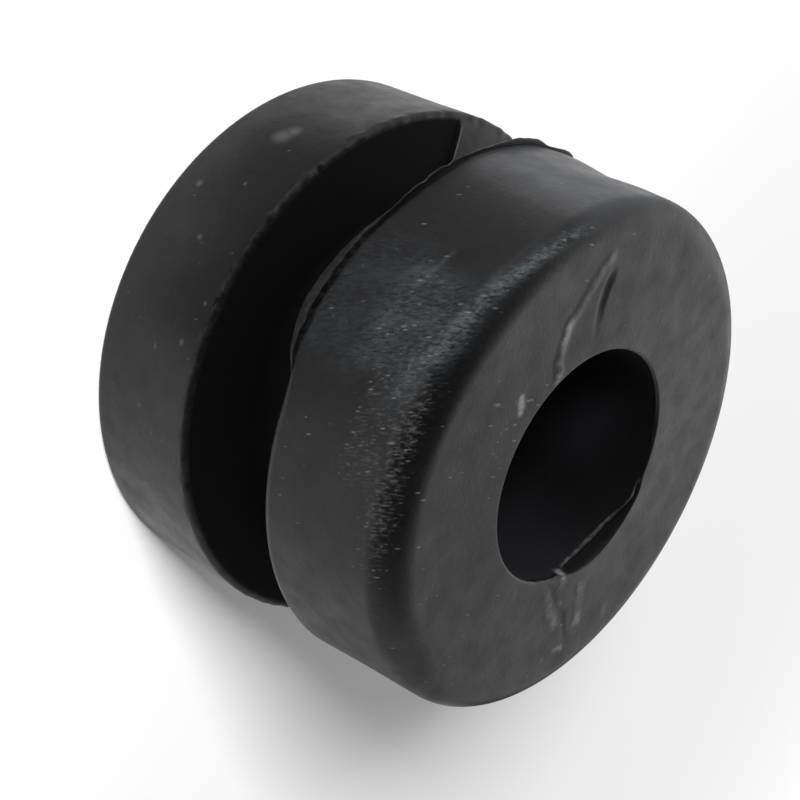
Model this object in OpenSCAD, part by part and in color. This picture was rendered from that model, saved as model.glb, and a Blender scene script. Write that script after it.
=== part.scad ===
// Moulded rubber grommet: two flanges with a deep groove between them and a
// bore right through. It stands on its plain base flange, with the flange
// that has the well rounded edge on top. The axis is Z and the base is z = 0.

/* [Base flange] */
// Outside diameter of the base flange
base_d = 18.5; // [16:0.5:26]
// Thickness of the base flange
base_t = 4.5; // [3:0.1:7]
// Radius of the edge that the grommet stands on
base_edge_r = 0.2; // [0.1:0.05:0.5]

/* [Groove] */
// Width of the groove, which takes the edge of a plate
groove_w = 3.4; // [1.5:0.1:6]
// Diameter of the groove's floor
groove_d = 12; // [10.5:0.5:14]
// Radius of the two flanges' edges beside the groove
rim_r = 0.12; // [0.05:0.01:0.3]
// Fillet between the groove's floor and its walls
floor_r = 0.3; // [0.1:0.05:0.6]

/* [Top flange] */
// Diameter of the top flange at the groove, where it is widest
top_d = 18.1; // [16:0.1:24]
// How much narrower the top flange is where its rounded edge starts
top_draft = 0.5; // [0:0.1:1]
// Thickness of the top flange
top_t = 5.1; // [3:0.1:8]
// Height of the rounded edge
round_h = 0.75; // [0.3:0.05:1.5]
// Width of the rounded edge
round_w = 0.95; // [0.3:0.05:2]

/* [Bore] */
// Diameter of the bore
bore_d = 8; // [5:0.5:9]
// Radius of the bore's two mouths
mouth_r = 0.12; // [0.05:0.01:0.4]
// Reach of the torn place at the upper mouth beyond the bore
tear_reach = 0.42; // [0.2:0.02:0.8]
// Depth of the torn place
tear_depth = 0.4; // [0.2:0.05:0.8]

/* [Moulding marks] */
// Height of the parting ridge that runs across the groove
ridge_h = 0.1; // [0.05:0.01:0.2]
// Width of the parting ridge
ridge_w = 0.2; // [0.1:0.05:0.4]
// Length of the flash lip that hangs from the top flange's rim
flash_h = 0.25; // [0.1:0.05:0.5]
// Thickness of the flash lip
flash_t = 0.15; // [0.1:0.01:0.25]
// Width of the creases in the top face
crease_w = 0.16; // [0.08:0.02:0.3]
// Depth of the creases in the top face
crease_depth = 0.08; // [0.04:0.01:0.15]

/* [Hidden] */
$fn = 96;
eps = 0.01;
arc_steps = 8;

base_r = base_d / 2;
groove_r = groove_d / 2;
rim_top_r = top_d / 2;
edge_top_r = (top_d - top_draft) / 2;
bore_r = bore_d / 2;
groove_z0 = base_t;
groove_z1 = base_t + groove_w;
height = base_t + groove_w + top_t;

// Direction of the parting ridge, seen from above, and of its twin
parting_az = [-17.5, 162.5];
// The flash lip's ends, and the ends and reach of each torn tab on the same rim
flash_from = 28;
flash_to = 62;
tab_reach = 0.14;
tabs = [[-19, -7], [-29, -24]];
tab_t = 0.15;
// Middle and half width of the torn place at the bore's mouth
tear_az = -152;
tear_half = 38;

// The radius at a share of the flat top face, from the bore out to the rounding
face_r0 = bore_r + mouth_r;
face_r1 = edge_top_r - round_w;
function face_r(share) = face_r0 + (face_r1 - face_r0) * share;
function spot(share, az) = face_r(share) * [cos(az), sin(az)];

// Paths of the creases in the top face, from the bore outwards
creases = [
    [spot(0, 25), spot(0.32, 18), spot(0.62, 3), spot(0.95, -4)],
    [spot(0.05, -1), spot(0.55, -2), spot(0.85, -3.5)],
    [spot(0.04, 165), spot(0.3, 172), spot(0.6, 177.5)],
    [spot(0.22, 190), spot(0.45, 188.5), spot(0.8, 186.5)]
];

// Points of an arc about c, from angle a0 to a1, with its own radius each way
function arc(c, rx, ry, a0, a1) = [
    for (i = [0 : arc_steps])
        let (a = a0 + (a1 - a0) * i / arc_steps)
            c + [rx * cos(a), ry * sin(a)]
];

// Outer half of the section, radius across and height up, without the bore
function section() = concat(
    [[0, 0]],
    arc([base_r - base_edge_r, base_edge_r], base_edge_r, base_edge_r, -90, 0),
    arc([base_r - rim_r, groove_z0 - rim_r], rim_r, rim_r, 0, 90),
    arc([groove_r + floor_r, groove_z0 + floor_r], floor_r, floor_r, 270, 180),
    arc([groove_r + floor_r, groove_z1 - floor_r], floor_r, floor_r, 180, 90),
    arc([rim_top_r - rim_r, groove_z1 + rim_r], rim_r, rim_r, -90, 0),
    arc([edge_top_r - round_w, height - round_h], round_w, round_h, 0, 90),
    [[0, height]]
);

// What the bore takes away: a true cylinder that widens at both mouths
module bore() {
    translate([0, 0, -eps]) cylinder(h = height + 2 * eps, r = bore_r);
    rotate_extrude() mouth_section();
    translate([0, 0, height]) mirror([0, 0, 1]) rotate_extrude() mouth_section();
}

module mouth_section() {
    polygon(concat(
        [[bore_r - eps, -eps], [bore_r + mouth_r, -eps]],
        arc([bore_r + mouth_r, mouth_r], mouth_r, mouth_r, 270, 180),
        [[bore_r - eps, mouth_r]]
    ));
}

// The torn crescent: a smaller disc, moved so that it reaches tear_reach past
// the bore in the middle and meets the bore's wall at both ends
module tear() {
    reach = bore_r + tear_reach;
    shift = (reach * reach - bore_r * bore_r) / (2 * (reach - bore_r * cos(tear_half)));
    rotate([0, 0, tear_az])
        translate([shift, 0, height - tear_depth])
            cylinder(h = tear_depth + eps, r = reach - shift);
}

// One straight piece of a crease: a V cut from point a to point b
module crease_piece(a, b) {
    run = b - a;
    translate([a[0], a[1], height])
        rotate([0, 0, atan2(run[1], run[0])])
            rotate([90, 0, 90])
                linear_extrude(height = norm(run))
                    polygon([[-crease_w / 2, eps], [crease_w / 2, eps], [0, -crease_depth]]);
}

module creases() {
    for (path = creases)
        for (i = [0 : len(path) - 2])
            crease_piece(path[i], path[i + 1]);
}

// Parting ridge across both walls and the floor of the groove
module parting_ridge() {
    r0 = groove_r + ridge_h;
    out0 = base_r - rim_r;
    out1 = rim_top_r - rim_r;
    rotate([90, 0, 0])
        translate([0, 0, -ridge_w / 2])
            linear_extrude(height = ridge_w)
                polygon([
                    [groove_r - eps, groove_z0 - eps],
                    [out0, groove_z0 - eps],
                    [out0 - ridge_h, groove_z0 + ridge_h],
                    [r0 + floor_r, groove_z0 + ridge_h],
                    [r0, groove_z0 + ridge_h + floor_r],
                    [r0, groove_z1 - ridge_h - floor_r],
                    [r0 + floor_r, groove_z1 - ridge_h],
                    [out1 - ridge_h, groove_z1 - ridge_h],
                    [out1, groove_z1 + eps],
                    [groove_r - eps, groove_z1 + eps]
                ]);
}

// Thin lip of flash that hangs into the groove just inside the rim
module flash_lip() {
    out = rim_top_r - rim_r;
    rotate([0, 0, flash_from])
        rotate_extrude(angle = flash_to - flash_from)
            polygon([
                [out - 2 * flash_t, groove_z1 + eps],
                [out - 1.3 * flash_t, groove_z1 - flash_h],
                [out - 0.7 * flash_t, groove_z1 - flash_h],
                [out, groove_z1 + eps]
            ]);
}

// A torn tab of flash that stands out from the top flange's rim
module tab(from, to) {
    low = groove_z1 + rim_r;
    in = edge_top_r - 2 * tab_t;
    rotate([0, 0, from])
        rotate_extrude(angle = to - from)
            polygon([
                [in, low],
                [rim_top_r + tab_reach, low],
                [rim_top_r + 0.6 * tab_reach, low + tab_t],
                [in, low + tab_t]
            ]);
}

module grommet() {
    color("#3a3b3d")
        difference() {
            union() {
                rotate_extrude() polygon(section());
                for (az = parting_az) rotate([0, 0, az]) parting_ridge();
                flash_lip();
                for (ends = tabs) tab(ends[0], ends[1]);
            }
            bore();
            tear();
            creases();
        }
}

grommet();
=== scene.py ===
import math

import bpy
import numpy as np
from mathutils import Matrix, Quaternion, Vector


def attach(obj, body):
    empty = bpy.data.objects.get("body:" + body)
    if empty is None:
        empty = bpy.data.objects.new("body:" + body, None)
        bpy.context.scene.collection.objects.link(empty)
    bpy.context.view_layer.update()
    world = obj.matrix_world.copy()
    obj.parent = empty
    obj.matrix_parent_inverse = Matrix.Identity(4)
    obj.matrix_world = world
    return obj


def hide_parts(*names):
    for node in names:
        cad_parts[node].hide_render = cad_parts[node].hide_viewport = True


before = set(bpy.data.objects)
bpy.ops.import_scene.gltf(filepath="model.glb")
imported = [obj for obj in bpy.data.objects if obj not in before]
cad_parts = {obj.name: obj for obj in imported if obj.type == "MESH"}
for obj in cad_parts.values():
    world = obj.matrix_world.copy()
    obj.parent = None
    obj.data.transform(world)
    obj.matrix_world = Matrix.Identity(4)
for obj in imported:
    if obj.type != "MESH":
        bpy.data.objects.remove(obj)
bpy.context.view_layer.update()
mm = 0.001

# The camera circles the aim point: azimuth 0 looks along +Y and 90 along -X.
# It is rolled, because the photograph shows the grommet lying on its flanges.
camera = {
    "aim": (-0.283, 0.866, 5.793),
    "distance": 51.413,
    "azimuth": 142.835,
    "elevation": 36.292,
    "roll": 117.56,
    "lens": 67.5,
    "clip": (1, 2000),
}


# addThing: a new object that holds the data, in the scene
def addThing(name, data):
    thing = bpy.data.objects.new(name, data)
    bpy.context.scene.collection.objects.link(thing)
    return thing


# towards: the unit vector from the grommet to the camera, a lamp or a card
def towards(azimuth, elevation):
    a, e = math.radians(azimuth), math.radians(elevation)
    return Vector((math.sin(a) * math.cos(e), -math.cos(a) * math.cos(e), math.sin(e)))


# lookAt: puts a thing at its distance from its aim point and turns it to look
# there. The roll is about its own line of sight.
def lookAt(thing, spec):
    back = towards(spec["azimuth"], spec["elevation"])
    thing.location = (Vector(spec["aim"]) + back * spec["distance"]) * mm
    thing.rotation_mode = "QUATERNION"
    level = (-back).to_track_quat("-Z", "Y")
    thing.rotation_quaternion = level @ Quaternion((0, 0, 1), math.radians(spec.get("roll", 0)))


def makeCamera(spec):
    data = bpy.data.cameras.new("camera")
    data.lens = spec["lens"]
    data.clip_start, data.clip_end = (length * mm for length in spec["clip"])
    thing = addThing("camera", data)
    lookAt(thing, spec)
    bpy.context.scene.camera = thing


makeCamera(camera)
print("camera placed")


# rise: 0 before start and 1 after end, by 3t^2 - 2t^3 between them
def rise(x, start, end):
    t = np.clip((x - start) / (end - start), 0, 1)
    return t * t * (3 - 2 * t)


# hump: half a cosine wave, 1 at the middle and 0 at reach from it and beyond
def hump(x, middle, reach):
    return 0.5 + 0.5 * np.cos(np.pi * np.clip(np.abs(x - middle) / reach, 0, 1))


# span: 1 from start to end, falling smoothly to 0 over soft on either side
def span(x, start, end, soft):
    return rise(x, start - soft, start) * (1 - rise(x, end, end + soft))


# turned: the angle from middle in degrees, kept between -180 and 180
def turned(angle, middle):
    return (angle - middle + 180) % 360 - 180


# waves: a sum of sines of the angle, each (turns, phase, size)
def waves(angle, parts):
    a = np.radians(angle)
    return sum(size * np.sin(turns * a + phase) for turns, phase, size in parts)


# bell: 1 at the middle, falling off as exp(-(distance / half)^2)
def bell(x, middle, half):
    return np.exp(-((x - middle) / half) ** 2)


# table: a value read from (place, value) pairs, straight between them
def table(x, pairs):
    return np.interp(x, *zip(*pairs))


# around: x and y for a radius and an angle
def around(r, angle):
    a = np.radians(angle)
    return r * np.cos(a), r * np.sin(a)


# spreadAngles: steps round the axis, closer where the density is higher. The
# angles are read back from the running sum of the density, which is taken in
# twentieths of a degree. soft is how far each zone's edge is blended, in degrees.
def spreadAngles(count, start, zones, soft=3):
    fine = np.linspace(start, start + 360, 360 * 20 + 1)
    density = 1 + sum((d - 1) * span(fine, a, b, soft) for a, b, d in zones)
    total = np.concatenate([[0], np.cumsum((density[1:] + density[:-1]) / 2)])
    return np.interp(np.arange(count) / count * total[-1], total, fine)


# straight: count rows on the line from a to b, without b. crowd packs them
# towards both ends, by taking a sine from the share.
def straight(a, b, count, crowd=0.0):
    s = np.arange(count) / count
    s = s - crowd * np.sin(2 * np.pi * s) / (2 * np.pi)
    return a[None] + (b - a)[None] * s[:, None, None]


# quarter: count rows on a quarter of an ellipse from a to b, without b. It
# leaves a along the radius or along the height, whichever is named first.
def quarter(a, b, count, first):
    t = np.arange(count) / count * np.pi / 2
    early, late = np.sin(t), 1 - np.cos(t)
    share = np.stack([early, late] if first == "radius" else [late, early], 1)
    return a[None] + (b - a)[None] * share[:, :, None]


# nearLine: for points in a plane, the distance to a path of straight pieces
# and how far along the path the nearest place lies, from 0 to 1
def nearLine(x, y, path):
    path = np.array(path, float)
    steps = np.hypot(*(path[1:] - path[:-1]).T)
    best = np.full(x.shape, 1e9)
    along = np.zeros(x.shape)
    done = 0.0
    for (ax, ay), (bx, by), step in zip(path[:-1], path[1:], steps):
        ux, uy = (bx - ax) / step, (by - ay) / step
        t = np.clip((x - ax) * ux + (y - ay) * uy, 0, step)
        gap = np.hypot(x - ax - t * ux, y - ay - t * uy)
        closer = gap < best
        best = np.where(closer, gap, best)
        along = np.where(closer, (done + t) / steps.sum(), along)
        done += step
    return best, along


# Sizes in mm and angles in degrees from +X. The section is the CAD one, with
# softer edges beside the groove. A list of pairs is a table over the angle, a
# span is (start, end, softness) and a wave is (turns, phase, size).
grommet = {
    "baseR": 9.25, "baseTop": 4.5, "baseEdge": 0.2, "lipEdge": 0.17,
    "grooveTop": 7.9, "grooveR": 6.0, "fillet": 0.3,
    "rimR": 9.05, "sideR": 8.8, "height": 13.0,
    "roundHigh": 0.75, "roundWide": 0.95,
    # on this stretch the rounding is wider and starts lower
    "softRound": (35, 112, 22), "softWide": 0.2, "softHigh": 0.22,
    "boreR": 4.0, "mouthEdge": 0.12,
    # columns of points round the axis, the zones where they are closer, and the
    # rows of points over the mouth and over the rim
    "firstColumn": -200, "columns": 436,
    "zones": [(-199, -166, 3.4), (-166, -119, 2.0), (-36, 31, 3.6), (31, 64, 2.2), (64, 100, 1.3)],
    "mouthRows": 16, "rimRows": 22,
    # torn crescent at the upper mouth, as (angle, mm): how far its outer edge
    # lies from the bore, how deep its lip is, and how deep the moat behind it
    "tearEdge": [(-187, 0.12), (-183, 0.12), (-180, 0.17), (-175, 0.24), (-166, 0.34), (-158, 0.37),
                 (-150, 0.37), (-142, 0.34), (-134, 0.32), (-126, 0.3), (-121, 0.2), (-116, 0.12)],
    "tearLip": [(-191, 0.12), (-187, 0.16), (-183, 0.34), (-172, 0.46), (-160, 0.5), (-146, 0.42),
                (-138, 0.27), (-132, 0.14), (-127, 0.06), (-120, 0.12)],
    "tearMoat": [(-184, 0.2), (-178, 0.45), (-166, 0.5), (-150, 0.44), (-138, 0.34), (-127, 0.22),
                 (-119, 0.12)],
    "tearWaves": [(23, 0.3, 0.5), (41, 1.9, 0.4), (67, 4.0, 0.3)], "tearUneven": 0.02,
    # how much wider than the mouth's edge the tear is where it takes over
    "tearBlend": 0.1,
    # radius of the top flange's rim beside the groove
    "rimEdge": [(-200, 0.14), (-40, 0.14), (-33, 0.2), (56, 0.16), (68, 0.45), (126, 0.4), (142, 0.14)],
    # the fin of flash on that rim: how far it stands out and how thick it is
    "finOut": [(-33, 0), (-31, 0.01), (-30, 0.04), (-28.8, 0.1), (-27.2, 0.14), (-24, 0.12), (-21.5, 0.09),
               (-20, 0.09), (-19, 0.11), (-18.2, 0.15), (-17.2, 0.21), (-15.8, 0.24), (-13, 0.28),
               (-8, 0.28), (-5, 0.21), (0, 0.18), (6, 0.19), (9, 0.22), (10.3, 0.13), (11.6, 0.21),
               (15, 0.21), (16.8, 0.1), (18.6, 0.18), (22, 0.15), (26, 0.1), (29, 0.1), (33, 0.13),
               (46, 0.15), (52, 0.14), (58, 0.1), (64, 0)],
    "finThick": [(-36, 0.1), (-20, 0.13), (-8, 0.12), (6, 0.07), (20, 0.07), (26, 0.04), (31, -0.04),
                 (36, -0.09), (50, -0.12), (57, -0.06), (61, 0.04)],
    "finWaves": [(67, 0.4, 0.6), (113, 1.0, 0.4)], "finUneven": 0.06,
    # how far it hangs into the groove, and how deep the crevice above it is
    "finHang": [(26, 0), (29, 0.12), (31, 0.18), (35, 0.29), (38, 0.36), (42, 0.43), (48, 0.5), (51, 0.46),
                (54, 0.37), (57, 0.24), (60, 0.1), (63, 0)],
    "finCrevice": [(8, 0.02), (30, 0.08)],
    # how far the side flares out into it
    "finFlare": [(-21, 0), (-14, 0.05), (4, 0.04), (12, 0)],
    # the hanging flash is ragged over a span of angles, in mm
    "hangWaves": [(47, 2.0, 0.6), (83, 0.7, 0.7)], "hangUneven": 0.02, "hangSpan": (30, 60, 3),
    # how far above the fin its rows start and how far in from the rim they end,
    # and how far it stands out where it takes over from the plain rim
    "finAbove": 0.16, "finUnder": 0.2, "finBlend": 0.09,
    # parting ridges across the groove, which fade out between two radii, and the
    # wall beside one of them: height, span of angles, span of radii
    "ridges": [-17.5, 162.5], "ridgeHigh": 0.1, "ridgeWide": 0.12, "ridgeEnd": (8.7, 9.0),
    "raisedWall": (0.05, (-38, -18, 0.8), (6.8, 8.8, 0.3)),
    # nicks in the base flange's lip: angle, half width in degrees, depth
    "nicks": [(24.2, 0.8, 0.06), (39.4, 0.8, 0.05), (44.7, 0.9, 0.09), (50.5, 0.7, 0.05),
              (56.9, 1.2, 0.1), (62, 0.8, 0.05), (71, 0.9, 0.05), (80, 1, 0.04), (102, 1.3, 0.05),
              (-63, 1.1, 0.08), (-121, 1.4, 0.06)],
    "lipWaves": [(41, 0.3, 0.5), (67, 1.2, 0.5), (97, 0.5, 0.4)], "lipUneven": 0.018,
    # the top face dips, from two radii near the bore to two near the rounding.
    # dipMean is more than the waves add up to, so it dips all the way round.
    "dip": 0.022, "dipInner": (4.1, 5.2), "dipOuter": (6.4, 7.85), "dipMean": 1.2,
    "dipWaves": [(2, 0.5, 0.5), (3, 1.7, 0.4), (5, 0.2, 0.2)],
    # the side's hollow near the tabs: depth, (angle, reach), (height, reach)
    "hollow": (0.1, (-28, 22), (9.9, 1.6)),
    # shallow hollows right round both sides: depth, (height, reach), waves
    "shallows": {
        "side": (0.012, (10.2, 2.1), [(3, 0.4, 0.4), (7, 2.0, 0.3), (11, 1.0, 0.3)]),
        "base": (0.02, (2.3, 2.0), [(2, 1.1, 0.5), (5, 0.6, 0.3), (9, 2.6, 0.2)]),
    },
}

# Marks on the top face. A path runs outwards as (radius, angle), half and lift
# are the half width and the height in mm, and from the path's start to its end
# one table says how pale the mark is painted, as wear and, on the crease's lit
# ridge, as a painted highlight, and another how deep it is cut and how dark its
# painted shade is.
marks = [
    # the upper crease: a soft ridge, painted pale as a highlight where it faces the
    # light, and the cut beside it, painted dark as its shade
    {"path": [(4.21, 26.3), (4.45, 23.5), (4.8, 23), (5.34, 18.1), (5.75, 15.2), (5.96, 11), (6.27, 7.5),
              (6.63, 4.5), (6.99, 1.3), (7.23, -1.1), (7.43, -3.8)], "half": 0.3, "lift": 0.032,
     "rubAndHighlight": [(0, 0.6), (0.05, 0.75), (0.09, 0.1), (0.14, 0.45), (0.18, 0.15), (0.28, 0.85), (0.39, 1),
             (0.46, 0.5), (0.58, 0.3), (0.7, 0.3), (0.8, 0.45), (0.93, 0.5), (1, 0)]},
    {"path": [(4.5, 2), (5.12, 1.5), (5.74, 0.1), (6.13, -1), (6.48, -2.5), (6.9, -4)],
     "half": 0.26, "lift": -0.06, "cut": [(0, 0), (0.25, 0.25), (0.5, 0.9), (0.8, 1), (1, 0)]},
    # the lower streaks and the cut between them, whose darkness is painted shade
    {"path": [(4.43, 165.3), (5.15, 170.6), (5.85, 174.9), (6.25, 177.2)], "half": 0.36, "lift": 0.014,
     "rubAndHighlight": [(0, 0.2), (0.35, 0.45), (0.65, 0.7), (0.9, 0.6), (1, 0.1)]},
    {"path": [(5.0, -169.5), (5.32, -171), (5.99, -171.9), (6.8, -173.1)], "half": 0.38, "lift": 0.014,
     "rubAndHighlight": [(0, 0.3), (0.3, 0.42), (0.6, 0.4), (0.85, 0.8), (1, 0.3)]},
    {"path": [(4.15, 166), (4.76, 172), (5.25, 176), (5.75, 180), (6.6, 181.5), (7.1, 183)],
     "half": 0.22, "lift": -0.024,
     "cut": [(0, 0.4), (0.3, 0.7), (0.45, 0.2), (0.6, 0.6), (0.85, 0.7), (1, 0)]},
    # lone scuffs below the bore
    {"path": [(4.12, 175.5), (4.45, 176.5)], "half": 0.32, "lift": 0.015, "rubAndHighlight": [(0, 0.85), (1, 0.5)]},
    {"path": [(4.95, -171.5), (5.2, -171)], "half": 0.3, "lift": 0.01, "rubAndHighlight": [(0, 0.5), (1, 0.6)]},
    {"path": [(5.15, 176.6), (5.25, 178)], "half": 0.22, "lift": 0.01, "rubAndHighlight": [(0, 0.5), (1, 0.5)]},
    {"path": [(7.15, -160.2), (7.3, -160.8)], "half": 0.3, "lift": 0.01, "rubAndHighlight": [(0, 0.45), (1, 0.45)]},
    {"path": [(7.16, 178), (7.24, -179)], "half": 0.28, "lift": 0.01, "rubAndHighlight": [(0, 0.7), (1, 0.7)]},
    {"path": [(7.28, 172.7), (7.3, 171.8)], "half": 0.2, "lift": 0.01, "rubAndHighlight": [(0, 0.5), (1, 0.5)]},
    {"path": [(7.7, 168), (7.72, 167)], "half": 0.15, "lift": 0.01, "rubAndHighlight": [(0, 0.3), (1, 0.3)]},
    {"path": [(4.45, 141.5), (4.7, 141.8)], "half": 0.13, "lift": 0.01, "rubAndHighlight": [(0, 0.25), (1, 0.25)]},
]
# What a mark without a table of paleness or of cut and shade has of it, and the
# span of its path where a mark without a cut has its full height
nowhere = [(0, 0), (1, 0)]
fullSpan = (0.05, 0.9, 0.08)


# markFields: over all marks, the sum of their heights, the strongest paleness
# (wear and painted highlight) and the strongest cut with its painted shade, each
# falling as a hump over the distance to the path
def markFields(x, y):
    lift, rubAndHighlight, cut = np.zeros(x.shape), np.zeros(x.shape), np.zeros(x.shape)
    for mark in marks:
        gap, along = nearLine(x, y, [around(r, a) for r, a in mark["path"]])
        near = hump(gap, 0, mark["half"])
        deep = table(along, mark.get("cut", nowhere))
        lift += mark["lift"] * near * (deep if "cut" in mark else span(along, *fullSpan))
        rubAndHighlight = np.maximum(rubAndHighlight, near * table(along, mark.get("rubAndHighlight", nowhere)))
        cut = np.maximum(cut, near * deep)
    return lift, rubAndHighlight, cut


# Across the tear, from the bore's wall to the face: shares of how far its edge
# lies from the bore, of its lip's depth and of its moat's
acrossTear = {
    "out": [(0, 0), (0.07, 0.02), (0.15, 0.16), (0.32, 0.56), (0.38, 0.63), (0.5, 0.7), (0.66, 0.81),
            (0.82, 0.91), (1, 1)],
    "lip": [(0, 1.12), (0.07, 0.98), (0.15, 0.9), (0.32, 0.98), (0.38, 0.6), (0.5, 0), (1, 0)],
    "moat": [(0, 0), (0.32, 0), (0.38, 0.5), (0.5, 1), (0.66, 0.8), (0.84, 0.3), (1, 0)],
}


# tornMouth: rows over the torn crescent, from the lip on the bore's wall down
# into the moat and up to the face
def tornMouth(g, angle):
    way = np.arange(g["mouthRows"]) / g["mouthRows"]
    out, lip, moat = [table(way, acrossTear[name])[:, None] for name in ("out", "lip", "moat")]
    reach = table(angle, g["tearEdge"]) * (1 + g["tearUneven"] * waves(angle, g["tearWaves"]))
    r = g["boreR"] + out * reach
    z = g["height"] - lip * table(angle, g["tearLip"]) - moat * table(angle, g["tearMoat"])
    return np.stack([r, z], 1)


# finRows: rows round the fin of flash: down the side, out along its upper
# face, down its outer face and back under it. Each corner holds the share of
# how far the fin stands out, mm across, the share of its thickness, mm up, and
# the shares of how far it hangs, of the crevice above it and of the flare.
def finRows(g, angle):
    corners = np.array([
        (0, 0, 1, g["finAbove"], 0, 0, 0.3),
        (0, 0, 1, 0.08, 0, 0.1, 1),
        (0, 0, 1, 0.035, 0, 1, 1.7),
        (0.1, 0, 1, -0.01, 0, 0.8, 2),
        (0.5, 0, 1, 0, 0, 0, 1),
        (0.86, 0, 0.98, 0, 0, 0, 0),
        (1, 0, 0.8, 0, 0.1, 0, 0),
        (0.9, 0, 0.3, 0, 0.6, 0, 0),
        (0.85, 0, 0.03, 0, 0.95, 0, 0),
        (0.4, 0, 0, 0, 1, 0, 0),
        (0, -0.1, 0, 0, 0.9, 0, 0),
        (0, -g["finUnder"], 0, 0, 0, 0, 0),
    ])
    place = np.linspace(0, len(corners) - 1, g["rimRows"] + 1)[:-1]
    shares = [np.interp(place, np.arange(len(corners)), column)[:, None] for column in corners.T]
    outShare, across, thickShare, up, hangShare, creviceShare, flareShare = shares
    sizes = ("finOut", "finThick", "finHang", "finCrevice", "finFlare")
    out, thick, hang, crevice, flare = [table(angle, g[name]) for name in sizes]
    wobble = 1 + g["finUneven"] * waves(angle, g["finWaves"])
    ragged = g["hangUneven"] * waves(angle, g["hangWaves"]) * span(angle, *g["hangSpan"])
    r = g["rimR"] + outShare * out * wobble + across - creviceShare * crevice + flareShare * flare
    z = g["grooveTop"] + thickShare * (thick + ragged) + up - hangShare * hang * (1 + 0.5 * ragged)
    return np.stack([r, z], 1)


# sectionRows: the section is a closed path of corners joined by straight and
# quarter-round stretches, and each corner may move with the angle. It goes up
# the bore, over the top face, down the outside and back under the base. torn
# and fin are 1 where the tear and the fin take the place of the plain edges.
def sectionRows(g, angle):
    flat = np.zeros(angle.shape)

    def corner(r, z):
        return np.stack([flat + r, flat + z])

    boreR, baseR, grooveR, rimR, sideR = [g[name] for name in ("boreR", "baseR", "grooveR", "rimR", "sideR")]
    top, level, baseTop, foot = g["height"], g["grooveTop"], g["baseTop"], g["baseEdge"]
    mouth, lip, fillet = g["mouthEdge"], g["lipEdge"], g["fillet"]
    tearEdge, soft = table(angle, g["tearEdge"]), table(angle, g["rimEdge"])
    torn = rise(tearEdge, mouth, mouth + g["tearBlend"])
    fin = rise(table(angle, g["finOut"]), 0, g["finBlend"])

    boreLow, boreHigh = corner(boreR, mouth), corner(boreR, top - table(angle, g["tearLip"]))
    plainMouth = quarter(boreHigh, corner(boreR + mouth, top), g["mouthRows"], "height")
    faceStart = corner(boreR + (1 - torn) * mouth + torn * tearEdge, top)
    wider = span(angle, *g["softRound"])
    faceEnd = corner(sideR - g["roundWide"] - g["softWide"] * wider, top)
    # where the rounding starts lower, the side is wider by its own slant
    slant = (rimR - sideR) / (top - g["roundHigh"] - level)
    sideStart = corner(sideR + slant * g["softHigh"] * wider, top - g["roundHigh"] - g["softHigh"] * wider)
    rimHigh, rimLow = corner(rimR, level + soft), corner(rimR - soft, level)
    plainRim = quarter(rimHigh, rimLow, g["rimRows"], "height")
    finHigh = corner(rimR, level + table(angle, g["finThick"]) + g["finAbove"])
    sideEnd = (1 - fin) * rimHigh + fin * finHigh
    rimEnd = (1 - fin) * rimLow + fin * corner(rimR - g["finUnder"], level)
    ceilingEnd, wallStart = corner(grooveR + fillet, level), corner(grooveR + fillet, baseTop)
    coreHigh, coreLow = corner(grooveR, level - fillet), corner(grooveR, baseTop + fillet)
    wallEnd, baseHigh = corner(baseR - lip, baseTop), corner(baseR, baseTop - lip)
    baseLow, underOut = corner(baseR, foot), corner(baseR - foot, 0)
    underIn = corner(boreR + mouth, 0)
    rows = [
        ("bore", straight(boreLow, boreHigh, 20, 0.9)),
        ("mouth", (1 - torn) * plainMouth + torn * tornMouth(g, angle)),
        ("face", straight(faceStart, faceEnd, 46)),
        ("edge", quarter(faceEnd, sideStart, 22, "radius")),
        ("side", straight(sideStart, sideEnd, 26, 0.7)),
        ("rim", (1 - fin) * plainRim + fin * finRows(g, angle)),
        ("ceiling", straight(rimEnd, ceilingEnd, 10, 0.5)),
        ("core", quarter(ceilingEnd, coreHigh, 4, "radius")),
        ("core", straight(coreHigh, coreLow, 4)),
        ("core", quarter(coreLow, wallStart, 4, "height")),
        ("wall", straight(wallStart, wallEnd, 12, 0.5)),
        ("lip", quarter(wallEnd, baseHigh, 8, "radius")),
        ("base", straight(baseHigh, baseLow, 14, 0.6)),
        ("foot", quarter(baseLow, underOut, 5, "height")),
        ("under", straight(underOut, underIn, 8, 0.5)),
        ("under", quarter(underIn, boreLow, 5, "radius")),
    ]
    names = np.concatenate([[name] * len(part) for name, part in rows])
    return names, np.concatenate([part for name, part in rows])


# relief: how far each point stands out along its own normal, in mm. where has
# the rows of each part of the section, and lift is the height of the marks.
def relief(g, where, r, z, a, lift):
    dip = where["face"] * rise(r, *g["dipInner"]) * (1 - rise(r, *g["dipOuter"]))
    out = -dip * g["dip"] * (g["dipMean"] + waves(a, g["dipWaves"]))
    out += where["face"] * lift

    deep, (middle, reach), (level, high) = g["hollow"]
    out -= where["side"] * deep * hump(turned(a, middle), 0, reach) * hump(z, level, high)
    for part, (deep, (level, high), parts) in g["shallows"].items():
        out -= where[part] * deep * (1 + waves(a, parts)) * hump(z, level, high)

    inGroove = where["ceiling"] | where["core"] | where["wall"]
    for middle in g["ridges"]:
        gap = np.radians(np.abs(turned(a, middle))) * r
        out += inGroove * g["ridgeHigh"] * hump(gap, 0, g["ridgeWide"]) * (1 - rise(r, *g["ridgeEnd"]))
    high, angles, radii = g["raisedWall"]
    out += where["wall"] * high * span(a, *angles) * span(r, *radii)
    for middle, half, deep in g["nicks"]:
        out -= where["lip"] * deep * hump(turned(a, middle), 0, half)
    out += where["lip"] * g["lipUneven"] * waves(a, g["lipWaves"])
    return out


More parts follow.
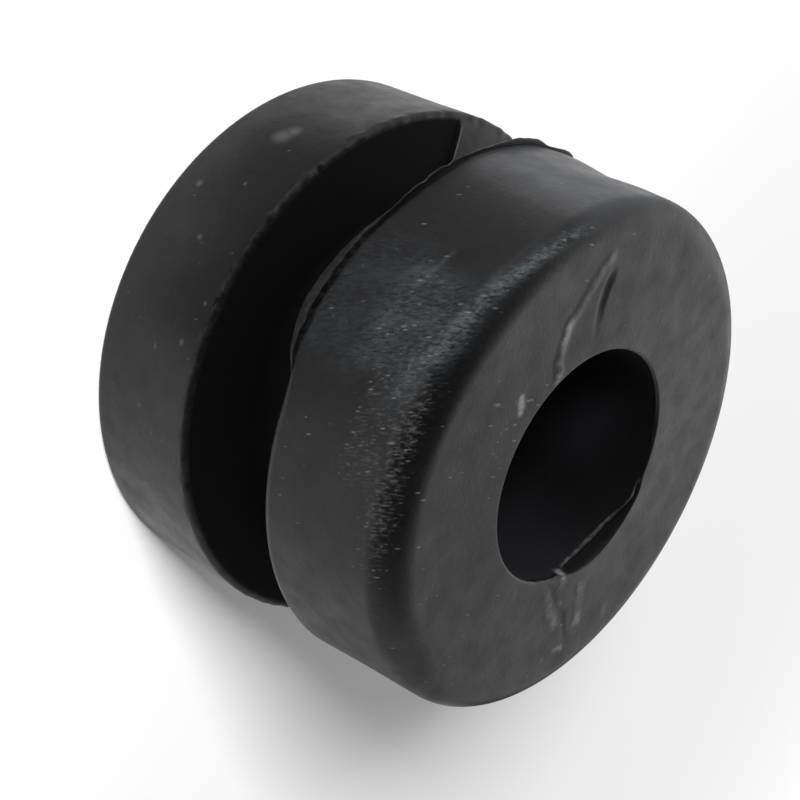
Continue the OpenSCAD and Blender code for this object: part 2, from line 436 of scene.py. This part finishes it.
# makeGrommet: the section carried once round the axis as a closed grid, moved
# out by relief along the section's own normals. run is the length in mm along
# the section: 0 where the side starts, more below and less up the rounding.
def makeGrommet(g, p):
    angle = spreadAngles(g["columns"], g["firstColumn"], g["zones"])
    names, section = sectionRows(g, angle)
    where = {name: (names == name)[:, None] for name in set(names.tolist())}
    r, z = section[:, 0], section[:, 1]
    run = np.cumsum(np.hypot(np.diff(r, axis=0, prepend=r[:1]), np.diff(z, axis=0, prepend=z[:1])), 0)
    run -= run[np.argmax(names == "side")]
    spread = np.broadcast_to(angle[None], r.shape)
    lift, rubAndHighlight, cut = markFields(*around(r, spread))
    masks = paintMasks(g, p, where, r, z, spread, run, rubAndHighlight, cut)
    out = relief(g, where, r, z, spread, lift)
    acrossR = np.roll(r, -1, 0) - np.roll(r, 1, 0)
    acrossZ = np.roll(z, -1, 0) - np.roll(z, 1, 0)
    size = np.maximum(np.hypot(acrossR, acrossZ), 1e-6)
    r, z = r - out * acrossZ / size, z + out * acrossR / size
    points = np.stack([*around(r, angle), z], 2).reshape(-1, 3) * mm
    rows, columns = r.shape
    i, j = np.meshgrid(np.arange(rows), np.arange(columns), indexing="ij")
    i2, j2 = (i + 1) % rows, (j + 1) % columns
    loop = [i * columns + j, i2 * columns + j, i2 * columns + j2, i * columns + j2]
    quads = np.stack(loop, 2).reshape(-1, 4)
    mesh = bpy.data.meshes.new("moulding")
    mesh.vertices.add(len(points))
    mesh.vertices.foreach_set("co", points.ravel())
    mesh.loops.add(quads.size)
    mesh.loops.foreach_set("vertex_index", quads.ravel().astype(np.int32))
    mesh.polygons.add(len(quads))
    mesh.polygons.foreach_set("loop_start", np.arange(0, quads.size, 4, dtype=np.int32))
    mesh.polygons.foreach_set("use_smooth", np.ones(len(quads), bool))
    mesh.update(calc_edges=True)
    mesh.validate()
    for name, values in masks.items():
        data = mesh.attributes.new(name, "FLOAT", "POINT").data
        data.foreach_set("value", values.ravel().astype(np.float32))
    return addThing("moulding", mesh)


# Where the finish changes. A strength is from 0 to 1, a list of pairs is a
# table over the angle and a span is (start, end, softness). rows are shares of
# the way over the mouth or over the rim, in the order of the section.
paint = {
    # the bluish bloom lies in a streak along the rounding: the run of its
    # middle, its half width in mm and its strength
    "streakMiddle": [(2, -0.75), (10, -0.65), (18, -0.6), (25, -0.6), (35, -0.4), (45, -0.3), (50, -0.1),
                     (56, 0.3), (60, 0.5)],
    "streakHalf": [(2, 0.14), (15, 0.18), (25, 0.2), (36, 0.28), (47, 0.42), (60, 0.5)],
    "streak": [(1, 0), (8, 0.45), (14, 0.62), (22, 0.7), (30, 0.62), (40, 0.56), (48, 0.5), (55, 0.25),
               (64, 0)],
    # clouds: strength, span of angles, span of runs
    "bloomClouds": [(0.2, (36, 51, 7), (0.5, 1.7, 0.9)), (0.09, (34, 54, 9), (2.2, 4.0, 1.0))],
    "streakCloud": (0.5, (36, 53, 5), (0.2, 1.8, 0.6)),
    "dustCloud": (0.6, (54, 74, 6), (0.1, 1.2, 0.5)),
    # dust takes over from the bloom and thins out further round: its strength
    # there, the run of its middle, and its half widths above and below that
    "edgeDust": [(46, 0), (56, 0.95), (60, 1), (78, 1), (88, 0.8), (96, 0.5), (104, 0.25), (113, 0)],
    "edgeMost": 0.88, "edgeMiddle": -0.45, "edgeHalves": (0.52, 0.75),
    # dust in the streak of bloom, as a share of the streak
    "streakDust": 0.85,
    # thin dust outside and on the base, as more on the span and some all round
    "thinSpan": (20, 130, 20), "thinDust": (0.09, 0.015), "baseDust": (0.03, 0.01),
    # thin dust on the face, from between two radii outwards
    "faceSpan": (20, 100, 20), "faceDust": 0.08, "faceFrom": (4.1, 4.4),
    # pale nub where the tear starts; a painted highlight on the lit crest of the
    # tear's lip; and the worn edge of the mouth where the mouth is plain
    "nub": {"angle": 176.5, "height": 12.8, "reach": 0.34, "outTo": 4.16},
    "crest": {"strength": 0.35, "rows": (0.07, 0.42, 0.06), "angle": -156, "span": (-24, 14, 10)},
    "mouthRub": {"strength": 0.3, "angle": 156, "span": (-16, 16, 6)},
    # worn lip of the base flange, as on the span and all round, and paler flash on
    # the rim
    "lipSpan": (12, 140, 15), "lipRub": (0.06, 0.03),
    "finSpan": (32, 58, 4), "finRub": 0.1,
    # painted light: the bore's wall is painted paler where light reaches into it,
    # all round, and strength, angle and reach at the front, where it fades out
    # between two heights, and at the back
    "boreLightLeast": 0.04, "boreLightFront": (0.4, -75, 65), "boreLightFade": (9.5, 12.5), "boreLightBack": (0.2, -195, 60),
    # painted sheen: the side by the tabs is painted paler for the sheen of light
    # from above at a grazing angle: span of angles, and the runs where it comes in
    "innerSide": (-36, -2, 14), "sideSheenRun": (-1.3, 0),
    # painted shade in the moat of the tear, which gets paler again near the face
    "moat": {"strength": 0.7, "rows": (0.38, 0.5), "less": 0.8, "lessRows": (0.7, 1),
             "angle": -155, "span": (-26, 32, 4)},
    # painted shade in the bore and in the cuts on the face
    "boreShadeStrength": 0.6, "cutDeep": 0.35,
    # the stretch of the groove's wall that light reaches; the rest of the groove
    # is painted with shade
    "litSpan": (-40, -17.6, 0.6),
    # painted shade in the crevice above the fin: its row, its half width and its
    # span, and painted shade on the underside of the hanging flash
    "creviceRow": 0.28, "creviceHalf": [(8, 0.08), (32, 0.2)], "creviceSpan": (-34, 58, 3),
    "underFin": {"strength": 0.7, "rows": (0.56, 0.76), "span": (28, 60, 3)},
}


# cloud: a patch given as its strength, its span of angles and its span of runs
def cloud(a, run, spec):
    strength, angles, runs = spec
    return strength * span(a, *angles) * span(run, *runs)


# moreAndLeast: least all round, and more than that on a span of angles
def moreAndLeast(a, angles, spec):
    more, least = spec
    return more * span(a, *angles) + least


# rowShare: how far along its own rows each row of a part is, up to 1
def rowShare(part):
    return np.cumsum(part, 0) / part.sum()


# paintMasks: where the finish changes, from 0 to 1 on each point: bloom and
# dust on the outside; pale wear, with painted highlights on lit edges; deep,
# painted shade where no light gets in; and painted light where the bore's wall
# is paler, with painted sheen on the side by the tabs. The pale and dark parts
# of the marks on the face come in as the marks have them.
def paintMasks(g, p, where, r, z, a, run, rubAndHighlight, cut):
    outer = where["side"] | where["edge"] | where["face"]
    streak = table(a, p["streak"]) * bell(run, table(a, p["streakMiddle"]), table(a, p["streakHalf"]))
    clouds = sum(cloud(a, run, spec) for spec in p["bloomClouds"])
    bloom = outer * np.clip(np.maximum(streak, clouds), 0, 1)

    half = np.where(run < p["edgeMiddle"], *p["edgeHalves"])
    dusts = [
        p["edgeMost"] * table(a, p["edgeDust"]) * bell(run, p["edgeMiddle"], half),
        cloud(a, run, p["dustCloud"]),
        p["streakDust"] * streak + cloud(a, run, p["streakCloud"]),
        moreAndLeast(a, p["thinSpan"], p["thinDust"]),
        where["face"] * p["faceDust"] * span(a, *p["faceSpan"]) * rise(r, *p["faceFrom"]),
    ]
    dust = outer * np.clip(np.maximum.reduce(dusts), 0, 1)
    dust = dust + where["base"] * moreAndLeast(a, p["thinSpan"], p["baseDust"])

    mouthRow, rimRow = rowShare(where["mouth"]), rowShare(where["rim"])
    nub, crest, plain = p["nub"], p["crest"], p["mouthRub"]
    gap = np.hypot(np.radians(turned(a, nub["angle"])) * g["boreR"], z - nub["height"])
    nearBore = (where["bore"] | where["mouth"]) * (r < nub["outTo"])
    onCrest = where["mouth"] * span(mouthRow, *crest["rows"])
    onMouth = where["mouth"] * plain["strength"] * hump(mouthRow, 0.5, 0.5)
    rubAndHighlight = np.maximum.reduce([
        where["face"] * rubAndHighlight,
        nearBore * hump(gap, 0, nub["reach"]),
        # painted highlight on the lit crest of the tear's lip
        onCrest * crest["strength"] * span(turned(a, crest["angle"]), *crest["span"]),
        onMouth * span(turned(a, plain["angle"]), *plain["span"]),
        where["lip"] * moreAndLeast(a, p["lipSpan"], p["lipRub"]),
        where["rim"] * p["finRub"] * span(a, *p["finSpan"]),
    ])

    # painted light on the bore's wall where light reaches in, and painted sheen on the side by the tabs
    front, frontAngle, frontReach = p["boreLightFront"]
    back, backAngle, backReach = p["boreLightBack"]
    front = front * hump(turned(a, frontAngle), 0, frontReach) * (1 - rise(z, *p["boreLightFade"]))
    inner = p["boreLightLeast"] + front + back * hump(turned(a, backAngle), 0, backReach)
    inner = where["bore"] * inner + outer * span(a, *p["innerSide"]) * rise(run, *p["sideSheenRun"])

    moat, under = p["moat"], p["underFin"]
    torn = span(turned(a, moat["angle"]), *moat["span"])
    paler = 1 - moat["less"] * rise(mouthRow, *moat["lessRows"])
    dark = moat["strength"] * rise(mouthRow, *moat["rows"]) * paler
    groove = where["ceiling"] | where["core"] | where["wall"]
    lit = span(a, *p["litSpan"]) * where["wall"]
    crevice = hump(rimRow, p["creviceRow"], table(a, p["creviceHalf"])) * span(a, *p["creviceSpan"])
    underFin = under["strength"] * rise(rimRow, *under["rows"]) * span(a, *under["span"])
    # painted shade: a darker colour in the groove, the bore, the tear's moat, the cuts, the crevice and under
    # the flash
    deep = np.maximum.reduce(np.broadcast_arrays(
        where["mouth"] * torn * dark,
        where["bore"] * p["boreShadeStrength"],
        where["face"] * p["cutDeep"] * cut,
        groove * (1 - lit),
        where["rim"] * np.maximum(crevice, underFin),
    ))
    return {"bloom": bloom, "dust": dust, "rubAndHighlight": np.clip(rubAndHighlight, 0, 1), "deep": deep, "inner": inner}


# A small helper for node trees: add("Kind", {input: value or socket}, setting=...)
class Tree:
    def __init__(self, tree):
        self.tree = tree

    def add(self, kind, inputs=None, **settings):
        node = self.tree.nodes.new(kind)
        for name, value in settings.items():
            setattr(node, name, value)
        for key, value in (inputs or {}).items():
            if isinstance(value, bpy.types.NodeSocket):
                self.tree.links.new(value, node.inputs[key])
            else:
                node.inputs[key].default_value = value
        return node

    def math(self, operation, a, b=None, c=None, clamp=False):
        inputs = {i: value for i, value in enumerate((a, b, c)) if value is not None}
        node = self.add("ShaderNodeMath", inputs, operation=operation)
        node.use_clamp = clamp
        return node.outputs[0]

    def vector(self, operation, a, b=None, scale=None, out=0):
        inputs = {k: v for k, v in ((0, a), (1, b), ("Scale", scale)) if v is not None}
        return self.add("ShaderNodeVectorMath", inputs, operation=operation).outputs[out]

    # inputs 6 and 7 and output 2 are the mix node's sockets for colours
    def mixColor(self, factor, a, b):
        return self.add("ShaderNodeMix", {0: factor, 6: a, 7: b}, data_type="RGBA").outputs[2]

    def step(self, value, low, high):
        node = self.add("ShaderNodeMapRange", {0: value, 1: low, 2: high}, interpolation_type="SMOOTHSTEP")
        return node.outputs[0]

    def noise(self, vector, scale, detail, roughness):
        inputs = {"Vector": vector, "Scale": scale, "Detail": detail, "Roughness": roughness}
        return self.add("ShaderNodeTexNoise", inputs).outputs["Fac"]
# cleared: a tree without nodes, for a material or the world
def cleared(owner):
    owner.use_nodes = True
    owner.node_tree.nodes.clear()
    return Tree(owner.node_tree)
rubber = {
    "dark": (0.0018, 0.0018, 0.0021, 1),
    "light": (0.0035, 0.0036, 0.004, 1),
    # colour of the painted shade, where no light gets in
    "deep": (0.0012, 0.0012, 0.0013, 1),
    "bloom": (0.074, 0.087, 0.096, 1),
    "dust": (0.17, 0.17, 0.166, 1),
    # pale colour of wear and of painted highlights on lit edges
    "rubbedAndHighlight": (0.12, 0.12, 0.12, 1),
    # colour of the painted light in the bore and of the painted sheen by the tabs
    "inner": (0.02, 0.021, 0.024, 1),
    "roughness": (0.36, 0.5), "deepRoughness": 0.95,
    "ior": 1.38,
    # dust and bloom lie combed across one direction: only along it do lengths
    # count in full, and a pattern is drawn out in the other two
    "across": (-0.872, 0.317, 0.373), "squeeze": 0.3,
    # noises: scale per mm, detail, roughness
    "clouds": (0.42, 4.0, 0.6), "grain": (6.5, 3.0, 0.65), "dashes": (12.0, 3.0, 0.75),
    "smears": (1.3, 3.0, 0.6), "patches": (3.6, 3.0, 0.7), "fine": (14.0, 2.0, 0.7),
    "gloss": (1.1, 3.0, 0.6),
    # where smooth steps start and end on sums of noises, and on the gloss noise
    "toneStep": (0.36, 0.66), "hazeStep": (0.46, 0.84), "wornHighlightStep": (0.64, 1.2), "glossRange": (0.3, 0.7),
    # fine specks: cells per mm, radius in cells, share of the cells that hold one
    "specks": [(3.6, 0.13, 0.08), (6.8, 0.24, 0.3), (9.5, 0.4, 0.8)],
    # how much of a speck's radius varies and how much doesn't, and its paleness
    "speckRadius": (0.7, 0.3), "speckPale": (0.35, 0.1),
    # fine dust: its threshold without dust, how far full dust lowers that, the
    # width of the step above it, and how strong it is
    "bar": 0.68, "barFall": 0.34, "barSoft": 0.4, "fineStrong": 0.23,
    # how much rougher bloom is, and heights of the surface in mm
    "hazeRough": 0.2, "grainHigh": 0.008, "speckHigh": 0.008, "wornHigh": 0.01,
}

# Single flecks of dust by part: whether they lie combed, how strong they are,
# and each (place, angle, radius in mm). The place is the radius on the top face
# and the height on the two sides.
flecks = [
    ("face", False, 0.8, [(5.14, 42.4, 0.2), (5.03, 43.5, 0.25), (4.91, 44.6, 0.25), (4.79, 46.3, 0.2)]),
    ("face", True, 0.42, [
        (6.06, 48.9, 0.08), (4.78, 41.2, 0.05), (4.67, 40, 0.05), (4.24, 39.1, 0.045), (4.74, 50.9, 0.05),
        (5.86, 54.8, 0.045), (4.39, 56.3, 0.045), (8.0, 6.8, 0.05), (7.81, -8.2, 0.04), (4.5, 31.4, 0.04),
        (6.235, -179.7, 0.055), (7.75, 75, 0.05), (7.55, 86.7, 0.045), (4.72, 71.2, 0.04),
        (6.8, 70.2, 0.04)]),
    ("side", True, 0.32, [
        (12.13, 65.4, 0.065), (12.69, 63.5, 0.055), (12.39, 71, 0.055), (12.6, 65.9, 0.045),
        (12.4, 33.8, 0.06), (12.48, 40.6, 0.045), (12.31, 38.1, 0.045), (11.96, 37.3, 0.04),
        (10.38, 36.5, 0.05), (12.49, 56.7, 0.05), (10.82, 45.6, 0.05), (11.1, 44.6, 0.04),
        (10.14, 47.9, 0.05), (11.69, 72.2, 0.045), (10.84, 58.4, 0.045), (8.72, 85.3, 0.04),
        (10.55, 29.9, 0.04), (8.34, 48.5, 0.04)]),
    ("base", False, 0.2, [(2.2, 20.2, 0.55), (2.35, 18, 0.42)]),
    ("base", False, 0.16, [
        (2.46, 47.5, 0.16), (1.05, 37.8, 0.2), (3.63, 67.1, 0.17), (2.66, 33.9, 0.12), (2.53, 70.4, 0.13),
        (2.25, 83.5, 0.13), (0.5, 7.8, 0.2), (4.0, 58.3, 0.12), (2.9, 88, 0.1)]),
]

# Faint scratches on the top flange's side: both ends as (height, angle), the
# half width in mm and how strong. The grain shifts their edges by this much.
scratches = [((10.62, 28.5), (10.43, 37.9), 0.15, 0.05), ((10.2, 41.5), (10.12, 45.5), 0.15, 0.04)]
scratchUneven = 0.2


# onGrommet: the point in mm for a place and angle on the face or on a side. On
# the rounding the radius falls as the ellipse has it.
def onGrommet(part, place, angle, g):
    r, z = g["baseR"], place
    if part == "face":
        r, z = place, g["height"]
    elif part == "side":
        start = g["height"] - g["roundHigh"]
        up = max(z - start, 0) / g["roundHigh"]
        down = max(start - z, 0) / (start - g["grooveTop"])
        r = g["sideR"] + (g["rimR"] - g["sideR"]) * down - g["roundWide"] * (1 - math.sqrt(1 - up * up))
    return Vector((*around(r, angle), z))


# paleSpecks: how pale the dust is, from 0 to 1, as the strongest of fine
# specks, single flecks, scratches and fine dust
def paleSpecks(t, spec, g, inMm, combed, dust, grain):
    across, squeeze = Vector(spec["across"]), spec["squeeze"]
    # a cell holds one round its point where the cell's own random number is
    # under the dust mask
    specks = None
    for scale, size, share in spec["specks"]:
        cell = t.add("ShaderNodeTexVoronoi", {"Vector": combed, "Scale": scale})
        chance = t.add("ShaderNodeSeparateColor", {0: cell.outputs["Color"]}).outputs
        there = t.math("LESS_THAN", chance[0], t.math("MULTIPLY", dust, share))
        varies, stays = spec["speckRadius"]
        radius = t.math("MULTIPLY_ADD", chance[1], size * varies, size * stays)
        near = t.step(cell.outputs["Distance"], radius, 0.0)
        pale = t.math("MULTIPLY_ADD", chance[2], *spec["speckPale"])
        speck = t.math("MULTIPLY", t.math("MULTIPLY", there, near), pale)
        specks = speck if specks is None else t.math("MAXIMUM", specks, speck)
    # a fleck is pale by the distance to its point, in its own radii
    for part, lies, strong, places in flecks:
        nearest = 9.0
        for place, angle, size in places:
            point = onGrommet(part, place, angle, g)
            if lies:
                point = point * squeeze + across * point.dot(across) * (1 - squeeze)
            gap = t.vector("DISTANCE", combed if lies else inMm, point, out="Value")
            nearest = t.math("MINIMUM", nearest, t.math("MULTIPLY", gap, 1 / size))
        specks = t.math("MAXIMUM", specks, t.math("MULTIPLY", t.step(nearest, 1.0, 0.0), strong))
    # a scratch is pale by the distance to the straight line between its ends,
    # made uneven by the grain
    for start, end, half, strong in scratches:
        start, end = onGrommet("side", *start, g), onGrommet("side", *end, g)
        way = end - start
        offset = t.vector("SUBTRACT", inMm, start)
        along = t.vector("DOT_PRODUCT", offset, way, out="Value")
        along = t.math("MULTIPLY", along, 1 / way.length_squared, clamp=True)
        gap = t.vector("DISTANCE", offset, t.vector("SCALE", way, scale=along), out="Value")
        gap = t.math("MULTIPLY_ADD", grain, scratchUneven, t.math("SUBTRACT", gap, scratchUneven / 2))
        specks = t.math("MAXIMUM", specks, t.math("MULTIPLY", t.step(gap, half, 0.0), strong))
    # fine dust: dashes of noise whose threshold falls where there is more dust
    bar = t.math("MULTIPLY_ADD", dust, -spec["barFall"], spec["bar"])
    fine = t.step(t.noise(combed, *spec["fine"]), bar, t.math("ADD", bar, spec["barSoft"]))
    return t.math("MAXIMUM", specks, t.math("MULTIPLY", fine, spec["fineStrong"]))


def makeRubber(spec, g):
    material = bpy.data.materials.new("rubber")
    t = cleared(material)
    inMm = t.vector("SCALE", t.add("ShaderNodeTexCoord").outputs["Object"], scale=1 / mm)
    across, squeeze = Vector(spec["across"]), spec["squeeze"]
    along = t.vector("DOT_PRODUCT", inMm, across, out="Value")
    kept = t.vector("SCALE", across, scale=t.math("MULTIPLY", along, 1 - squeeze))
    combed = t.vector("ADD", t.vector("SCALE", inMm, scale=squeeze), kept)
    bloom, dust, rubAndHighlight, deep, inner = [t.add("ShaderNodeAttribute", attribute_name=name).outputs["Fac"]
                                     for name in ("bloom", "dust", "rubAndHighlight", "deep", "inner")]

    # tone: half broad clouds and half fine grain
    clouds, grain = t.noise(inMm, *spec["clouds"]), t.noise(inMm, *spec["grain"])
    dashes, smears = t.noise(combed, *spec["dashes"]), t.noise(combed, *spec["smears"])
    halves = t.math("MULTIPLY", clouds, 0.5), t.math("MULTIPLY", grain, 0.5)
    color = t.mixColor(t.step(t.math("ADD", *halves), *spec["toneStep"]), spec["dark"], spec["light"])
    # painted shade where no light gets in
    color = t.mixColor(deep, color, spec["deep"])

    # bloom: thicker where the dashes and the broad smears are both high
    thick = t.math("MULTIPLY_ADD", smears, 0.35, t.math("MULTIPLY", dashes, 0.9))
    haze = t.math("MULTIPLY", bloom, t.step(thick, *spec["hazeStep"]), clamp=True)
    color = t.mixColor(haze, color, spec["bloom"])
    # worn places and painted highlights on lit edges: broken up by patches and
    # dashes, less so where they are strong
    patches = t.math("ADD", t.noise(inMm, *spec["patches"]), t.math("MULTIPLY", dashes, 0.5))
    wornAndHighlight = t.math("MULTIPLY", rubAndHighlight, t.step(t.math("MULTIPLY_ADD", rubAndHighlight, 0.35, patches), *spec["wornHighlightStep"]))
    color = t.mixColor(wornAndHighlight, color, spec["rubbedAndHighlight"])
    # painted light in the bore and painted sheen on the side by the tabs
    color = t.mixColor(inner, color, spec["inner"])
    specks = paleSpecks(t, spec, g, inMm, combed, dust, grain)
    color = t.mixColor(specks, color, spec["dust"])

    noise = t.noise(inMm, *spec["gloss"])
    ends = dict(enumerate((noise, *spec["glossRange"], *spec["roughness"])))
    rough = t.add("ShaderNodeMapRange", ends).outputs[0]
    rough = t.math("MULTIPLY_ADD", haze, spec["hazeRough"], rough)
    toDeep = t.math("MULTIPLY", deep, t.math("SUBTRACT", spec["deepRoughness"], rough))
    rough = t.math("ADD", rough, toDeep, clamp=True)
    grainHigh = t.math("MULTIPLY", grain, spec["grainHigh"] * mm)
    speckHigh = t.math("MULTIPLY", specks, spec["speckHigh"] * mm)
    height = t.math("MULTIPLY_ADD", wornAndHighlight, spec["wornHigh"] * mm, t.math("ADD", grainHigh, speckHigh))
    bump = t.add("ShaderNodeBump", {"Height": height, "Strength": 1.0, "Distance": 1.0}).outputs[0]
    inputs = {"Base Color": color, "Roughness": rough, "Normal": bump, "IOR": spec["ior"]}
    shader = t.add("ShaderNodeBsdfPrincipled", inputs).outputs[0]
    t.add("ShaderNodeOutputMaterial", {"Surface": shader})
    return material


moulding = makeGrommet(grommet, paint)
moulding.data.materials.append(makeRubber(rubber, grommet))
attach(moulding, "root")
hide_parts("grommet")
print("grommet made:", len(moulding.data.polygons) * 2, "triangles")

# The floor and the world look white to the camera and in gloss. fade is how
# far from the grommet the floor starts to glow for the camera, and is all glow.
studio = {
    "floorSize": 1200,
    "floorColor": (0.86, 0.86, 0.86, 1),
    "floorGlow": 0.05,
    "fade": (25, 170),
    "worldLight": 0.26,
}
# facing: corners of an upright card turned towards the grommet
def facing(azimuth, elevation, distance, wide, high):
    back = towards(azimuth, elevation)
    across = back.cross(Vector((0, 0, 1))).normalized() * wide / 2
    up = across.normalized().cross(back) * high / 2
    return [back * distance + across * u + up * v for u, v in ((-1, -1), (1, -1), (1, 1), (-1, 1))]


# overhead: corners of a level card, as far out as each azimuth says
def overhead(height, reaches):
    return [(math.sin(math.radians(a)) * r, -math.cos(math.radians(a)) * r, height) for a, r in reaches]


# Cards that only gloss sees, as corners in mm and how pale they are. They paint
# dark reflections of the room: behind the camera, above, beside, and on the
# floor to the right; the low card and the left floor card paint the floor's
# shadow into the reflections low by the flanges.
cards = {
    "roomCard": (facing(165, 42, 95, 230, 150), 0.02),
    "ceilingCard": (overhead(90, [(0, 54), (45, 56), (90, 70), (140, 100), (180, 100), (225, 92), (260, 100),
                                  (290, 76), (323, 58)]), 0.02),
    "sideCard": (facing(272, 12, 95, 75, 60), 0.5),
    "lowShadowCard": ([(-13.5, 1, 0.5), (-13.5, -11, 0.5), (-13.5, -11, 13.2), (-13.5, 1, 13.2)], 0.02),
    "rightFloorCard": ([(9.8, 2.5, 0.3), (18, -9.5, 0.3), (38, -14, 0.3), (40, 14, 0.3), (22, 25, 0.3),
                        (4, 26, 0.3), (4, 10.4, 0.3), (8.4, 8, 0.3)], 0.25),
    "leftFloorShadowCard": ([(-16, 9, 0.3), (-16, -4, 0.3), (-42, -10, 0.3), (-42, 12, 0.3)], 0.45),
}


# sheet: one flat polygon with its corners in mm
def sheet(name, corners, material):
    mesh = bpy.data.meshes.new(name)
    mesh.from_pydata([Vector(corner) * mm for corner in corners], [], [range(len(corners))])
    mesh.materials.append(material)
    return addThing(name, mesh)


# seenRays: 1 for rays from the camera and off gloss, 0 for those that light
def seenRays(t):
    path = t.add("ShaderNodeLightPath")
    glossy = t.math("ADD", path.outputs["Is Glossy Ray"], path.outputs["Is Transmission Ray"])
    return t.math("ADD", path.outputs["Is Camera Ray"], glossy, clamp=True)


def makeFloor(spec):
    material = bpy.data.materials.new("floor")
    t = cleared(material)
    plain = t.add("ShaderNodeBsdfDiffuse", {"Color": spec["floorColor"]}).outputs[0]
    # far from the grommet the lamps fade, and the glow makes up for it
    away = t.vector("LENGTH", t.add("ShaderNodeTexCoord").outputs["Object"], out="Value")
    seen = t.add("ShaderNodeLightPath").outputs["Is Camera Ray"]
    far = t.math("MULTIPLY", seen, t.step(away, *[length * mm for length in spec["fade"]]))
    gain = t.math("ADD", far, t.math("MULTIPLY", seenRays(t), spec["floorGlow"]))
    glow = t.add("ShaderNodeEmission", {"Strength": gain}).outputs[0]
    both = t.add("ShaderNodeAddShader", {0: plain, 1: glow}).outputs[0]
    t.add("ShaderNodeOutputMaterial", {"Surface": both})
    half = spec["floorSize"] / 2
    floor = sheet("floor", [(-half, -half, 0), (half, -half, 0), (half, half, 0), (-half, half, 0)], material)


def makeWorld(spec):
    world = bpy.data.worlds.new("world")
    bpy.context.scene.world = world
    t = cleared(world)
    gain = t.math("MULTIPLY_ADD", seenRays(t), 1 - spec["worldLight"], spec["worldLight"])
    light = t.add("ShaderNodeBackground", {"Color": (1, 1, 1, 1), "Strength": gain}).outputs[0]
    t.add("ShaderNodeOutputWorld", {"Surface": light})


def makeCard(name, corners, pale):
    material = bpy.data.materials.new(name)
    t = cleared(material)
    dull = t.add("ShaderNodeBsdfDiffuse", {"Color": (pale, pale, pale, 1)}).outputs[0]
    t.add("ShaderNodeOutputMaterial", {"Surface": dull})
    card = sheet(name, corners, material)
    card.visible_camera = card.visible_diffuse = card.visible_shadow = False


makeFloor(studio)
makeWorld(studio)
for name, (corners, pale) in cards.items():
    makeCard(name, corners, pale)

# Square soft lamps that face the grommet's middle. A glow of 1 is as bright as
# white, and inGloss says whether gloss shows the lamp.
lamps = {
    "key": {"aim": (0, 0, 6.5), "azimuth": 119, "elevation": 32, "distance": 200, "size": 62,
            "glow": 46.0, "inGloss": False},
    "window": {"aim": (0, 0, 6.5), "azimuth": 346, "elevation": 24, "distance": 180, "size": 130,
               "glow": 0.45, "inGloss": True},
}


# makeLamp: the power is 4 times the glow times the area, because an area lamp's
# brightness is its power over 4 times its area
def makeLamp(name, spec):
    data = bpy.data.lights.new(name, "AREA")
    data.shape, data.size = "SQUARE", spec["size"] * mm
    data.energy = 4 * spec["glow"] * data.size ** 2
    thing = addThing(name, data)
    lookAt(thing, spec)
    thing.visible_camera = False
    thing.visible_glossy = spec["inGloss"]


for name, spec in lamps.items():
    makeLamp(name, spec)
bpy.context.scene.view_settings.view_transform = "Standard"
print("floor, world and lamps made")
